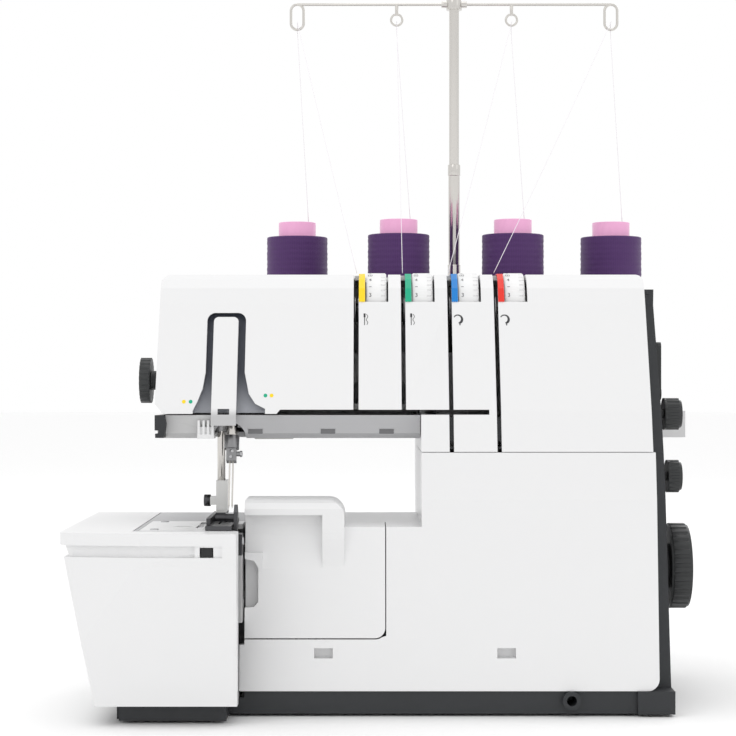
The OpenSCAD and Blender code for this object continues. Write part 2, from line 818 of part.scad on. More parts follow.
module presser_bar() {
    color("silver") difference() {
        union() {
            rod_z(136, 198, -110, -64, 2.5);
            block([-120.6, -62.6, 183.4], [-109, -59.6, 190.6]);
        }
        block([-122, -63, 185.2], [-113.4, -58, 188.8]);
    }
}

module presser_foot() {
    color(STEEL) difference() {
        union() {
            block([-114.5, -129, 111.3], [-99.4, -60, 113.6]);
            block([-114.5, -120, 113.5], [-112.2, -60, 117.5]);
            rod_x(-113.5, -99.4, -82.2, 115, 2.5);
            block([-112, -84, 113.5], [-106, -60, 119]);
            block([-112.8, -70, 117], [-105.8, -58, 137]);
            block([-116.6, -69, 122], [-112.6, -61, 127]);
        }
        block([-105.6, -99, 110], [-90, -86.2, 122]);
        block([-108.4, -112, 110], [-107.2, -90, 120]);
        rod_z(136, 140, -110, -64, 2.51);
        translate([-120, -129, 111.3]) rotate([-35, 0, 0]) translate([0, -6, -6]) cube([30, 6, 12]);
    }
}

// Lever behind the head; its crank pin lifts the presser bar's fork
module presser_lifter() {
    color(DARK) union() {
        rod_y(-58, 68, bar_shaft_x, bar_shaft_z, 3);
        rod_y(-58, -55, bar_shaft_x, bar_shaft_z, 8);
        rod_y(-64, -57, bar_shaft_x + 5.2, bar_shaft_z - 3, 1.5);
        rod_y(60.6, 68, bar_shaft_x, bar_shaft_z, 8);
        translate([bar_shaft_x, 0, bar_shaft_z]) rotate([0, 8, 0]) {
            block([0, 61, -4], [44, 67, 4]);
            rod_y(61, 67, 44, 0, 6);
        }
    }
}

module pressure_dial() {
    color(DARK) difference() {
        union() {
            rod_x(-163, -156.5, pressure_y, pressure_z, 14.3);
            rod_x(-157, -150, pressure_y, pressure_z, 6);
            rod_x(-151.5, -149, pressure_y, pressure_z, 12);
            rod_x(-150, -138, pressure_y, pressure_z, 3);
        }
        for (a = [0 : 15 : 359]) translate([0, pressure_y, pressure_z]) rotate([a, 0, 0])
            rod_x(-164, -156, 0, 15, 1.2);
        block([-164, pressure_y - 12, pressure_z - 1], [-162.2, pressure_y + 12, pressure_z + 1]);
    }
}

// Lower looper: a hooked blade on an arm that swings under the plate
module lower_looper() {
    color("silver") union() {
        rod_y(-96, -34, looper_pivot_x, looper_pivot_z, 4);
        rod_y(swing_y0, swing_y1, looper_pivot_x, looper_pivot_z, 7);
        along_y(swing_y0, swing_y1) polygon([
            [-88, 42], [-85.5, 85], [-85, 92], [-88, 96.5], [-94, 99.6], [-94, 100.4], [-86, 99],
            [-80.5, 94], [-79.5, 85], [-80, 42]
        ]);
    }
}

// Upper looper: a curved blade on a rod that slides up through its bush
module upper_looper() {
    color("silver") union() {
        on_upper_rod() translate([0, 0, -50]) cylinder(r = 2.5, h = 66);
        along_y(upper_y - 1, upper_y + 1) polygon([
            [-75, 80], [-80, 88], [-85.5, 94.5], [-91, 97.6], [-91.4, 98.4], [-85, 98], [-78, 92.5],
            [-74, 86], [-72, 80]
        ]);
    }
}

// ---- thread tensions ----
module tension_shafts() {
    color(DARK) union() {
        block([20, 4, 216], [40, 8, 240]);
        block([slot_at(0) - 9.8, 4, 236], [slot_at(3) - 7.8, 8, 248]);
        for (i = SLOTS) {
            block([slot_at(i) - 9.8, dial_y - 3, dial_z - 5], [slot_at(i) - 7.8, 6, dial_z + 5]);
            rod_x(slot_at(i) - 9, slot_at(i) + slot_pitch - 9, dial_y, dial_z, 2.5);
        }
    }
}

module tension_discs() {
    color(STEEL) for (i = SLOTS) difference() {
        union() {
            for (side = [-1.1, 1.1]) {
                rod_x(slot_at(i) + side - 0.5, slot_at(i) + side + 0.5, dial_y, dial_z, 9);
            }
            rod_x(slot_at(i) - 7.8, slot_at(i) - 1.6, dial_y, dial_z, 4.5);
        }
        rod_x(slot_at(i) - 9, slot_at(i) + 4, dial_y, dial_z, 2.52);
    }
}

// Coloured strips on the front of the upper cover, one beside each slot
module colour_tabs() {
    color("gold") for (i = SLOTS) difference() {
        along_x(slot_at(i) + slot_w / 2, slot_at(i) + 5.2) side_outline(-0.5);
        along_x(slot_at(i), slot_at(i) + 6) side_outline(0);
        block([-200, -200, 0], [200, 200, 246.5]);
        block([-200, -30, 0], [200, 200, 300]);
    }
}

module tension_dial(i) {
    x = slot_at(i) + 6;
    color(WHITE) difference() {
        union() {
            rod_x(x, x + 12.4, dial_y, dial_z, dial_r - 0.5);
            rod_x(x + 0.6, x + 11.8, dial_y, dial_z, dial_r);
        }
        rod_x(x - 1, x + 14, dial_y, dial_z, 2.5 + RUN);
        rod_x(x + 3, x + 13, dial_y, dial_z, 18);
        for (a = [0 : 10 : 359]) translate([0, dial_y, dial_z]) rotate([a, 0, 0])
            rod_x(x + 9, x + 13, 0, dial_r + 0.3, 0.8);
    }
    color(WHITE) difference() {
        rod_x(x + 2.9, x + 12, dial_y, dial_z, 6);
        rod_x(x - 1, x + 14, dial_y, dial_z, 2.5 + RUN);
    }
}

module tension_dial_1() { tension_dial(0); }
module tension_dial_2() { tension_dial(1); }
module tension_dial_3() { tension_dial(2); }
module tension_dial_4() { tension_dial(3); }

// Block behind the two long slots, with the tubes that carry thread to the loopers
module threading_ports() {
    color(DARK) difference() {
        union() {
            intersection() {
                along_x(slot_at(2) - 6, slot_at(3) + 6) polygon(concat(
                    [for (p = face_line(wall)) p], [for (i = [7 : -1 : 0]) face_line(9)[i]]));
                block([-100, -130, 157], [100, 0, 176]);
            }
            for (i = [2, 3]) rod_z(92, 160, slot_at(i), -84, 2.6);
            block([slot_at(2) - 2, -86, 92], [slot_at(3) + 2, -82, 96]);
        }
        for (i = [2, 3]) {
            rod_z(91, 162, slot_at(i), -84, 1.6);
            rod_y(-110, -80, slot_at(i), 160, 1.6);
        }
    }
}

// ---- thread stand ----
tray_x0 = -113.5;
tray_x1 = 196;
tray_y1 = 152;
tray_z0 = 159;
tray_z1 = 177;
mast_travel = 60;

module tray_outline(t) {
    union() {
        translate([tray_x0 + t, back_y]) square([tray_x1 - tray_x0 - 2 * t, tray_y1 - back_y - 16]);
        translate([tray_x0 + 16, back_y]) square([tray_x1 - tray_x0 - 32, tray_y1 - back_y - t]);
        for (x = [tray_x0 + 16, tray_x1 - 16]) translate([x, tray_y1 - 16]) circle(16 - t);
    }
}

module spool_tray() {
    color(WHITE) difference() {
        union() {
            difference() {
                along_z(tray_z0, tray_z1) tray_outline(0);
                along_z(tray_z0 + 4, tray_z1 + 1) intersection() {
                    tray_outline(wall);
                    translate([-300, back_y + wall]) square([600, 200]);
                }
            }
            rod_z(tray_z0 + 3, tray_z0 + 16, mast_x, mast_y, 11);
        }
        rod_z(tray_z0 + 0.5, tray_z0 + 17, mast_x, mast_y, 4.5);
    }
}

module spool_pins() {
    color("gainsboro") for (p = PINS) {
        rod_z(tray_z0 + 4, tray_z0 + 7, p[0], p[1], 19);
        rod_z(tray_z0 + 6, 240, p[0], p[1], 3);
    }
}

// A cone of thread: pink tube with the wound thread on it
module spool(i) {
    p = PINS[i];
    color("indigo") difference() {
        union() {
            rod_z(tray_z0 + 7.3, spool_top_z, p[0], p[1], 13.2);
            translate([p[0], p[1], 0]) rotate_extrude() polygon([
                [0, 170], [19, 170], [spool_r + 0.3, 173], [spool_r + 0.3, 180], [spool_r, 297.5],
                [spool_r - 0.8, 299], [0, 299]
            ]);
        }
        rod_z(100, 244, p[0], p[1], 3 + RUN);
        rod_z(243.9, 400, p[0], p[1], 11.6);
    }
}

module spool_1() { spool(0); }
module spool_2() { spool(1); }
module spool_3() { spool(2); }
module spool_4() { spool(3); }

module mast_lower() {
    color("silver") difference() {
        rod_z(tray_z0 + 0.5, 280, mast_x, mast_y, 4.5);
        rod_z(tray_z0 + 6, 281, mast_x, mast_y, 4 + RUN);
    }
}

module mast_middle() {
    color("silver") difference() {
        union() {
            rod_z(238, 351.5, mast_x, mast_y, 4);
            rod_z(343.6, 351.5, mast_x, mast_y, 4.4);
        }
        rod_z(237, 352, mast_x, mast_y, 3.5 + RUN);
    }
}

wire_r = 1;
loop_x = [-outer_reach, -inner_reach - 1, inner_reach + 1, outer_reach];

module wire(a, b, r) {
    d = b - a;
    translate(a) rotate([0, acos(d[2] / norm(d)), atan2(d[1], d[0])]) cylinder(r = r, h = norm(d));
}

// Half or whole ring of round wire in an upright plane, open side down
module wire_ring(x, z, ring_r, r, turn = 0, angle = 360) {
    translate([x, 0, z]) rotate([90, turn, 0]) rotate_extrude(angle = angle)
        translate([ring_r, 0]) circle(r);
}

end_loop_r = 4.5;
end_loop_drop = 9;
eye_r = 4;

// Top tube with the hub and the wire arm that guides the four threads
module mast_upper() {
    color("silver") {
        rod_z(308, 462, mast_x, mast_y, 3.5);
        rod_z(462, 470, mast_x, mast_y, 5.5);
        translate([mast_x, mast_y, 0]) {
            rod_x(-9, 9, 0, arm_z, 2.4);
            rod_x(-outer_reach, outer_reach, 0, arm_z, wire_r);
            for (side = [-1, 1]) {
                x = side * outer_reach;
                wire_ring(x, arm_z - end_loop_r, end_loop_r, 0.95, 0, 180);
                wire_ring(x, arm_z - end_loop_r - end_loop_drop, end_loop_r, 0.95, 180, 180);
                for (leg = [-1, 1]) rod_z(arm_z - end_loop_r - end_loop_drop, arm_z - end_loop_r,
                    x + leg * end_loop_r, 0, 0.95);
                eye_x = side * (inner_reach + 1);
                rod_z(arm_z - 8, arm_z, eye_x, 0, 1.2);
                wire_ring(eye_x, arm_z - 7 - eye_r, eye_r, 0.8);
            }
        }
    }
}

thread_r = 0.3;

// Threads from the spools up to the wire arm and down to the slots
module threads() {
    color("white") for (i = SLOTS) {
        eye_x = mast_x + loop_x[i];
        behind = [eye_x, mast_y + 2, arm_z - 12.6];
        front = [eye_x, mast_y - 2, arm_z - 12.6];
        wire([PINS[i][0] + 8, PINS[i][1], spool_top_z + 1], behind, thread_r, $fn = 8);
        wire(behind + [0, 0.2, -0.1], front - [0, 0.2, 0.1], thread_r, $fn = 8);
        wire(front, [slot_at(i), -40, top_z + 1], thread_r, $fn = 8);
    }
}

// ---- controls on the right side ----
module ribbed_knob(x0, x1, y, z, r) {
    difference() {
        union() {
            rod_x(x0, x1 - 1.5, y, z, r);
            rod_x(x1 - 2, x1, y, z, r - 1.5);
        }
        for (a = [0 : 20 : 359]) translate([0, y, z]) rotate([a, 0, 0])
            rod_x(x0 + 1.5, x1 + 1, 0, r + 0.6, 1.3);
        rod_x(x1 - 1, x1 + 1, y, z, r - 4.5);
    }
    rod_x(144, x0 + 1, y, z, 3);
    rod_x(150.5, 153.5, y, z, 4.4);
}

module stitch_length_knob() {
    color(DARK) ribbed_knob(165, 176, knob_y, stitch_knob_z, 10);
}

module diff_feed_knob() {
    color(DARK) ribbed_knob(167, 176, knob_y, diff_knob_z, 10.2);
}

module threading_lever() {
    color(DARK) {
        rod_x(154.8, 163, lever_y, lever_z, 2.5);
        along_x(162, 165) {
            translate([lever_y, lever_z]) circle(4.5);
            translate([lever_y - 3.2, lever_z]) square([6.4, 30]);
            translate([lever_y, lever_z + 29]) circle(3.2);
        }
    }
}

module power_switch() {
    color("black") difference() {
        union() {
            along_z(31.4, 44.6) polygon([[155.6, 27.6], [162.4, 27.6], [161.4, 35], [162.4, 42.4],
                [155.6, 42.4]]);
            rod_z(29.4, 46.6, 157.4, 35, 1.5);
        }
        for (z = [37, 39]) block([161.8, 29, z], [163, 33, z + 0.8]);
    }
}

module mains_inlet() {
    color("black") difference() {
        union() {
            block([118.2, 42, 90.2], [141.8, back_y, 109.8]);
            block([114, back_y, 86], [146, back_y + 2, 114]);
        }
        block([121.5, 46, 94.5], [138.5, back_y + 3, 105.5]);
    }
    color("silver") for (x = [126.5, 133.5]) rod_y(45, 55, x, 100, 1.2);
}

base_pan();
rubber_feet();
front_shell();
upper_shell();
rear_shell();
head_cover();
head_underside();
side_panel();
face_recess();
needle_thread_cover();
thread_comb();
thread_cutter();
free_arm();
needle_plate();
main_frame();
motor();
drive_belt();
tension_shafts();
tension_discs();
colour_tabs();
threading_ports();
cover_hinge_rod();
spool_tray();
spool_pins();
mast_lower();
lower_knife();
threads();
mains_inlet();
handwheel();
main_shaft();
motor_pulley();
needle_bar();
needle_clamp();
needles();
presser_bar();
presser_foot();
presser_lifter();
pressure_dial();
upper_knife();
lower_looper();
upper_looper();
feed_dog();
diff_feed_dog();
looper_cover();
slide_table();
table_latch();
tension_dial_1();
tension_dial_2();
tension_dial_3();
tension_dial_4();
spool_1();
spool_2();
spool_3();
spool_4();
stitch_length_knob();
diff_feed_knob();
threading_lever();
power_switch();
mast_middle();
mast_upper();
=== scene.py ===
import math
import bpy
import bmesh
from mathutils import Matrix, Vector


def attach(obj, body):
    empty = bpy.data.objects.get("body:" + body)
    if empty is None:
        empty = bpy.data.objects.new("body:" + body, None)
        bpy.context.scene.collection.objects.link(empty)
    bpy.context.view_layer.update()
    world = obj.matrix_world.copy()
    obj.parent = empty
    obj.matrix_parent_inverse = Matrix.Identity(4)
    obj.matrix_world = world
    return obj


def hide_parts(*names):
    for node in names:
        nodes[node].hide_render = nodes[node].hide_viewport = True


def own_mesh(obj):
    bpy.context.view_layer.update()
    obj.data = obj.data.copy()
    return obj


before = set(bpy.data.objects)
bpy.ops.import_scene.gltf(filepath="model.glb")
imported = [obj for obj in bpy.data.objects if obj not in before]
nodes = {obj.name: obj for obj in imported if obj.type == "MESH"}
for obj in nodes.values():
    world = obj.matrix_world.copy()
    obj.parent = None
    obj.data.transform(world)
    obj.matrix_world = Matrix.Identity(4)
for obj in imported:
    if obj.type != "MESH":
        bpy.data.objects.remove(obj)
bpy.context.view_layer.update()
scene = bpy.context.scene
MM = 0.001

# ---- The place where the machine stands ----
# A wide matt table top under soft studio light: one big light over the left shoulder, a weaker
# one from the right, one overhead, one behind for the rims, and an even white room.

camera_place = Vector((-0.020, -1.212, 0.2014))
camera_lens = 91.4
sensor_width = 36.0
horizon_drop = 0.0095
table_radius = 9.0
below_the_feet = 0.0002

camera_data = bpy.data.cameras.new("camera")
camera_data.lens = camera_lens
camera_data.sensor_width = sensor_width
camera_data.shift_y = horizon_drop
camera = bpy.data.objects.new("camera", camera_data)
camera.location = camera_place
camera.rotation_euler = (math.pi / 2, 0, 0)
scene.collection.objects.link(camera)
scene.camera = camera
scene.view_settings.view_transform = "Standard"


def socket(shader, name, value):
    shader.inputs[name].default_value = value


def new_material(name, colour, roughness, metallic=0.0):
    material = bpy.data.materials.new(name)
    material.use_nodes = True
    shader = material.node_tree.nodes["Principled BSDF"]
    socket(shader, "Base Color", (*colour, 1))
    socket(shader, "Roughness", roughness)
    socket(shader, "Metallic", metallic)
    material.diffuse_color = (*colour, 1)
    return material, shader


table_paint = new_material("pale_table_paint", (0.97, 0.97, 0.97), 0.85)[0]
table_mesh = bpy.data.meshes.new("table_top")
table_bm = bmesh.new()
bmesh.ops.create_circle(table_bm, cap_ends=True, segments=96, radius=table_radius)
table_bm.to_mesh(table_mesh)
table_bm.free()
table_top = bpy.data.objects.new("table_top", table_mesh)
table_top.location = (0, 0, -below_the_feet)
table_mesh.materials.append(table_paint)
scene.collection.objects.link(table_top)


def soft_light(name, place, aim, width, power):
    data = bpy.data.lights.new(name, "AREA")
    data.shape = "DISK"
    data.size = width
    data.energy = power
    lamp = bpy.data.objects.new(name, data)
    lamp.location = place
    lamp.rotation_euler = (Vector(aim) - Vector(place)).to_track_quat("-Z", "Y").to_euler()
    scene.collection.objects.link(lamp)


soft_light("left_front_light", (-1.3, -1.5, 1.7), (0, 0, 0.15), 1.3, 2.6)
soft_light("right_front_light", (1.5, -1.3, 1.1), (0, 0, 0.2), 1.2, 0.7)
soft_light("overhead_light", (0.1, 0.1, 2.0), (0, 0, 0.1), 1.4, 5.0)
soft_light("rim_light", (0.9, 1.6, 1.2), (0, 0, 0.25), 1.0, 3)

room = bpy.data.worlds.new("white_room")
room.use_nodes = True
room.node_tree.nodes["Background"].inputs["Color"].default_value = (1, 1, 1, 1)
room.node_tree.nodes["Background"].inputs["Strength"].default_value = 1.0
scene.world = room

# ---- White covers ----
# The lower, upper, rear and head covers, the cloth bed, the looper cover, the extension table and
# the thread tray are injection-moulded white ABS with a soft gloss and a fine spark-eroded grain.

COVER_WHITE = (0.80, 0.80, 0.803)


def add_grain(material, shader, size_mm, strength, rough_low, rough_high):
    """Fine moulded grain: a bump, and a roughness that wanders slowly over the piece."""
    tree = material.node_tree
    place = tree.nodes.new("ShaderNodeTexCoord")
    grain = tree.nodes.new("ShaderNodeTexNoise")
    socket(grain, "Scale", 1000 / size_mm)
    socket(grain, "Detail", 2.0)
    bump = tree.nodes.new("ShaderNodeBump")
    socket(bump, "Strength", strength)
    socket(bump, "Distance", 0.0001)
    tree.links.new(place.outputs["Object"], grain.inputs["Vector"])
    tree.links.new(grain.outputs["Fac"], bump.inputs["Height"])
    tree.links.new(bump.outputs["Normal"], shader.inputs["Normal"])
    wander = tree.nodes.new("ShaderNodeTexNoise")
    socket(wander, "Scale", 14.0)
    socket(wander, "Detail", 3.0)
    spread = tree.nodes.new("ShaderNodeMapRange")
    socket(spread, "To Min", rough_low)
    socket(spread, "To Max", rough_high)
    tree.links.new(place.outputs["Object"], wander.inputs["Vector"])
    tree.links.new(wander.outputs["Fac"], spread.inputs["Value"])
    tree.links.new(spread.outputs["Result"], shader.inputs["Roughness"])


def two_tone(material, axis, from_mm, to_mm, low_colour, high_colour):
    """Two colours on one piece, changing between two planes square to the axis."""
    tree = material.node_tree
    shader = tree.nodes["Principled BSDF"]
    place = tree.nodes.new("ShaderNodeTexCoord")
    parts = tree.nodes.new("ShaderNodeSeparateXYZ")
    past = tree.nodes.new("ShaderNodeMapRange")
    past.interpolation_type = "SMOOTHSTEP"
    socket(past, "From Min", from_mm * MM)
    socket(past, "From Max", to_mm * MM)
    paint = tree.nodes.new("ShaderNodeMix")
    paint.data_type = "RGBA"
    paint.inputs["A"].default_value = (*low_colour, 1)
    paint.inputs["B"].default_value = (*high_colour, 1)
    tree.links.new(place.outputs["Object"], parts.inputs["Vector"])
    tree.links.new(parts.outputs[axis], past.inputs["Value"])
    tree.links.new(past.outputs["Result"], paint.inputs["Factor"])
    tree.links.new(paint.outputs["Result"], shader.inputs["Base Color"])


def moulded_plastic(name, colour, size_mm=0.5, strength=0.12, rough=(0.3, 0.42)):
    material, shader = new_material(name, colour, rough[0])
    socket(shader, "Specular IOR Level", 0.45)
    add_grain(material, shader, size_mm, strength, *rough)
    return material


def finish_node(name, material, edge_mm=0.0, angle_deg=35, segments=2):
    """The finish of one rigid piece, with its edges broken as the mould or the tumbler leaves them."""
    piece = nodes[name]
    piece.data.materials.clear()
    piece.data.materials.append(material)
    for face_slot in piece.material_slots:
        face_slot.material = material
    if edge_mm:
        weld = piece.modifiers.new("weld", "WELD")
        weld.merge_threshold = 0.000002
        edge = piece.modifiers.new("edge", "BEVEL")
        edge.width = edge_mm * MM
        edge.segments = segments
        edge.limit_method = "ANGLE"
        edge.angle_limit = math.radians(angle_deg)
        edge.use_clamp_overlap = True
        edge.harden_normals = True
    return piece


cover_white = moulded_plastic("white_cover_plastic", COVER_WHITE, 0.6, 0.06, (0.26, 0.36))
for cover in ("front_shell", "upper_shell", "rear_shell", "head_cover", "looper_cover",
              "slide_table", "spool_tray"):
    finish_node(cover, cover_white, 0.7)
cap_with_painted_shade = moulded_plastic("needle_cover_painted_shade", COVER_WHITE, 0.6, 0.06, (0.26, 0.36))
# Painted shade: below z 176 to 182 the white cap turns to face down, and there it is coloured grey for
# its shade.
two_tone(cap_with_painted_shade, "Z", 176, 182, (0.5, 0.5, 0.505), COVER_WHITE)
finish_node("needle_thread_cover", cap_with_painted_shade, 0.25)
finish_node("thread_comb", cover_white, 0.25)

# ---- Grey and charcoal mouldings ----
# The head's underside is satin white plastic, coloured grey as painted shade, darker right of x -113;
# the foot, the right side panel and the inner guides are charcoal with a matt grain, and the channel
# pan is a bluish grey.

# Painted shade: the white underside is coloured grey for the shade under the head, and a darker grey
# right of x -113.
underside_shade_paint = moulded_plastic("painted_shade_underside_plastic", (0.62, 0.62, 0.62), 0.5, 0.1, (0.4, 0.5))
two_tone(underside_shade_paint, "X", -113.4, -113.0, (0.6, 0.6, 0.6), (0.46, 0.46, 0.47))
charcoal = moulded_plastic("charcoal_plastic", (0.024, 0.026, 0.029), 0.7, 0.35, (0.46, 0.6))
channel_grey = moulded_plastic("channel_grey_plastic", (0.09, 0.1, 0.14), 0.5, 0.15, (0.4, 0.5))
finish_node("head_underside", underside_shade_paint, 0.5)
finish_node("base_pan", charcoal, 0.6)
finish_node("side_panel", charcoal, 0.9, segments=3)
two_tone(channel_grey, "Z", 178, 206, (0.34, 0.35, 0.38), (0.08, 0.088, 0.115))
finish_node("face_recess", channel_grey, 0.3)
finish_node("threading_ports", charcoal, 0.3)
finish_node("tension_shafts", charcoal, 0.3)
finish_node("thread_cutter", charcoal, 0.3)

# ---- Bed, drive and inner castings ----
# The free arm and inner frame are bead-blasted aluminium castings. The motor is black painted steel,
# the belt is moulded rubber, and the shafts and feed teeth are ground and brushed steel.


def brushed_metal(name, colour, rough, stretch, strength=0.15):
    """Fine brushing along one direction, given by the stretch of the noise in X, Y and Z."""
    material, shader = new_material(name, colour, rough, 1.0)
    tree = material.node_tree
    place = tree.nodes.new("ShaderNodeTexCoord")
    lay = tree.nodes.new("ShaderNodeMapping")
    socket(lay, "Scale", stretch)
    scratch = tree.nodes.new("ShaderNodeTexNoise")
    socket(scratch, "Scale", 900.0)
    socket(scratch, "Detail", 3.0)
    bump = tree.nodes.new("ShaderNodeBump")
    socket(bump, "Strength", strength)
    socket(bump, "Distance", 0.00005)
    tree.links.new(place.outputs["Object"], lay.inputs["Vector"])
    tree.links.new(lay.outputs["Vector"], scratch.inputs["Vector"])
    tree.links.new(scratch.outputs["Fac"], bump.inputs["Height"])
    tree.links.new(bump.outputs["Normal"], shader.inputs["Normal"])
    return material


def soft_rubber(name, colour):
    material, shader = new_material(name, colour, 0.8)
    socket(shader, "Specular IOR Level", 0.3)
    add_grain(material, shader, 0.9, 0.3, 0.72, 0.88)
    return material


cast_metal, cast_shader = new_material("blasted_aluminium", (0.55, 0.55, 0.56), 0.5, 1.0)
add_grain(cast_metal, cast_shader, 0.4, 0.4, 0.42, 0.6)
motor_paint = moulded_plastic("black_motor_paint", (0.03, 0.03, 0.03), 0.8, 0.2, (0.35, 0.5))
belt_rubber = soft_rubber("belt_rubber", (0.018, 0.018, 0.018))
brushed_steel = brushed_metal("brushed_steel", (0.56, 0.56, 0.57), 0.34, (1.0, 0.06, 1.0))
turned_steel = brushed_metal("turned_steel", (0.55, 0.55, 0.56), 0.3, (0.06, 1.0, 1.0))
plated_steel = brushed_metal("plated_steel", (0.62, 0.6, 0.57), 0.16, (1.0, 1.0, 0.05), 0.05)
hard_steel = brushed_metal("blackened_steel", (0.085, 0.085, 0.09), 0.38, (1.0, 1.0, 0.1), 0.12)

finish_node("free_arm", cast_metal, 0.8)
finish_node("main_frame", cast_metal, 0.8)
finish_node("motor", motor_paint, 0.8)
finish_node("drive_belt", belt_rubber)
finish_node("main_shaft", turned_steel, 0.2)
finish_node("motor_pulley", turned_steel, 0.2)
finish_node("tension_discs", turned_steel, 0.15)
plate_steel = brushed_metal("satin_plate_steel", (0.86, 0.86, 0.86), 0.42, (1.0, 0.06, 1.0), 0.08)
finish_node("needle_plate", plate_steel, 0.2)
finish_node("feed_dog", brushed_steel)
finish_node("diff_feed_dog", brushed_steel)
finish_node("cover_hinge_rod", plated_steel, 0.2)
finish_node("lower_knife", hard_steel, 0.15)
knife_steel = brushed_metal("knife_arm_steel", (0.5, 0.5, 0.5), 0.38, (1.0, 1.0, 0.1), 0.12)
two_tone(knife_steel, "Z", 95.2, 95.8, (0.6, 0.6, 0.6), (0.085, 0.085, 0.09))
finish_node("upper_knife", knife_steel, 0.2)

# ---- Needles, presser and loopers ----
# The needle bar, needles and loopers are polished, plated steel, the clamp is brushed, and the
# presser foot is blackened steel with a lighter shank.

finish_node("needle_bar", plated_steel, 0.3)
finish_node("needles", plated_steel)
clamp_steel = brushed_metal("dark_clamp_steel", (0.27, 0.27, 0.275), 0.3, (1.0, 1.0, 0.2), 0.15)
finish_node("needle_clamp", clamp_steel, 0.25)
finish_node("presser_bar", plated_steel, 0.3)
foot_steel = brushed_metal("presser_foot_steel", (0.3, 0.3, 0.3), 0.34, (1.0, 1.0, 0.1), 0.12)
two_tone(foot_steel, "Z", 118.2, 118.6, (0.085, 0.085, 0.09), (0.6, 0.6, 0.59))
finish_node("presser_foot", foot_steel, 0.2)
finish_node("lower_looper", plated_steel, 0.15)
finish_node("upper_looper", plated_steel, 0.15)

# ---- Knobs, dials and switches ----
# The handwheel, knobs and levers are satin charcoal plastic with moulded ribs. The four tension
# dials are white. The switch, socket and table latch are black.

knob_plastic = moulded_plastic("satin_knob_plastic", (0.03, 0.032, 0.033), 0.5, 0.2, (0.34, 0.46))
dial_white = moulded_plastic("dial_white_plastic", (0.84, 0.84, 0.84), 0.5, 0.05, (0.26, 0.34))
black_plastic = moulded_plastic("black_switch_plastic", (0.012, 0.012, 0.013), 0.6, 0.2, (0.4, 0.5))
for knob in ("handwheel", "stitch_length_knob", "diff_feed_knob", "threading_lever",
             "pressure_dial", "presser_lifter"):
    finish_node(knob, knob_plastic, 0.35)
for dial in range(1, 5):
    finish_node(f"tension_dial_{dial}", dial_white, 0.25)
for control in ("power_switch", "mains_inlet", "table_latch"):
    finish_node(control, black_plastic, 0.4)
foot_rubber = soft_rubber("foot_rubber", (0.022, 0.022, 0.022))
finish_node("rubber_feet", foot_rubber, 0.8)

# ---- Colour tabs ----
# Four glossy strips clip beside the thread slots. Each is moulded in its thread path's colour:
# yellow, green, blue and red from the left.

slot_first = -27.0
slot_pitch = 28.6
tab_beside_slot = 3.0
TAB_COLOURS = ((0.95, 0.66, 0.006), (0.0, 0.4, 0.22), (0.0, 0.2, 0.6), (0.78, 0.025, 0.012))

tab_material, tab_shader = new_material("tab_plastic", TAB_COLOURS[0], 0.25)
tab_tree = tab_material.node_tree
tab_place = tab_tree.nodes.new("ShaderNodeTexCoord")
tab_split = tab_tree.nodes.new("ShaderNodeSeparateXYZ")
tab_span = tab_tree.nodes.new("ShaderNodeMapRange")
tab_ramp = tab_tree.nodes.new("ShaderNodeValToRGB")
socket(tab_span, "From Min", (slot_first - slot_pitch / 2 + tab_beside_slot) * MM)
socket(tab_span, "From Max", (slot_first + slot_pitch * 3.5 + tab_beside_slot) * MM)
tab_ramp.color_ramp.interpolation = "CONSTANT"
tab_stops = tab_ramp.color_ramp.elements
for index, tab_colour in enumerate(TAB_COLOURS):
    share = index / len(TAB_COLOURS)
    stop = tab_stops[0] if index == 0 else tab_stops.new(share)
    stop.position = share
    stop.color = (*tab_colour, 1)
tab_stops.remove(tab_stops[-1])
tab_tree.links.new(tab_place.outputs["Object"], tab_split.inputs["Vector"])
tab_tree.links.new(tab_split.outputs["X"], tab_span.inputs["Value"])
tab_tree.links.new(tab_span.outputs["Result"], tab_ramp.inputs["Fac"])
tab_tree.links.new(tab_ramp.outputs["Color"], tab_shader.inputs["Base Color"])
finish_node("colour_tabs", tab_material, 0.15)

# ---- Thread stand ----
# Three plated tubes slide into each other and carry a bent wire arm. The pins with their round
# holders are light grey plastic.

holder_grey = moulded_plastic("holder_grey_plastic", (0.55, 0.55, 0.55), 0.6, 0.1, (0.36, 0.46))
finish_node("spool_pins", holder_grey, 0.4)
for tube in ("mast_lower", "mast_middle", "mast_upper"):
    finish_node(tube, plated_steel, 0.2)

# ---- Thread cones ----
# Each cone is a pink moulded tube with purple polyester wound on it in crossing layers. The winding
# is a lathed body with the layers' ridges in its surface, and it turns with its tube.

SPOOL_PLACES = ((-70.5, 123), (1.5, 98), (81.5, 98), (153.5, 123))
winding_low = 170.0
winding_top = 299.5
winding_r = 21.5
winding_foot_r = 19.0
tube_r = 13.3
layer_ridges = 34
slow_ridges = 11.3
TUBE_PINK = (0.86, 0.42, 0.66)
THREAD_PURPLE = (0.04, 0.008, 0.078)
THREAD_LIGHT = (0.08, 0.02, 0.14)


